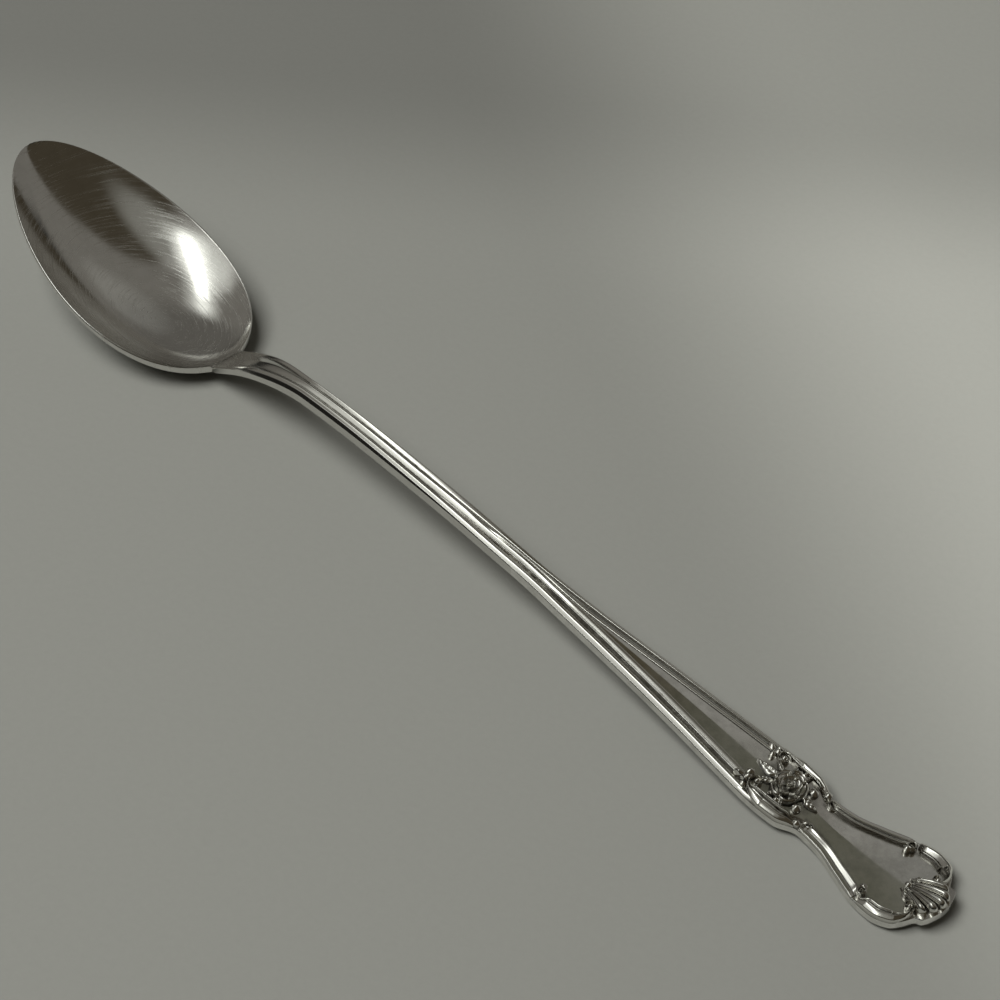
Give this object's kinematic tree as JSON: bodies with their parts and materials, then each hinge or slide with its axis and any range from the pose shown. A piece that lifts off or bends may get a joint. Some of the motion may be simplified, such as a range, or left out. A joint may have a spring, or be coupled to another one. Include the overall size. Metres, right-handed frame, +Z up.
{
  "type": "iced tea spoon",
  "caption": "Long-handled iced tea spoon with an egg-shaped bowl, a reeded arched stem and a handle end with scrolls, a rose and a shell in relief.",
  "frame": {"origin": "on the table surface, under the middle of the spoon's length and width", "axes": "+X from the tip of the bowl to the end of the handle, +Z up out of the bowl's hollow"},
  "size_m": [0.19, 0.0284, 0.0176],
  "materials": {
    "plain_silver": "polished silver plate with fine scratches",
    "worn_silver": "silver plate dulled by wear",
    "relief_silver": "silver plate with dark tarnish in its recesses"
  },
  "bodies": {
    "root": {"bowl": "plain_silver", "stem": "plain_silver", "handle": "worn_silver", "centre_reed": "relief_silver", "left_rail": "relief_silver", "right_rail": "relief_silver", "left_rib": "relief_silver", "right_rib": "relief_silver", "rib_buds": "relief_silver", "left_shoulder_scroll": "relief_silver", "right_shoulder_scroll": "relief_silver", "left_waist_scroll": "relief_silver", "right_waist_scroll": "relief_silver", "left_end_scroll": "relief_silver", "right_end_scroll": "relief_silver", "scroll_beads": "relief_silver", "rose_petals": "relief_silver", "rose_heart": "relief_silver", "rose_leaves": "relief_silver", "rose_berries": "relief_silver", "shell_tip": "relief_silver"}
  },
  "joints": []
}
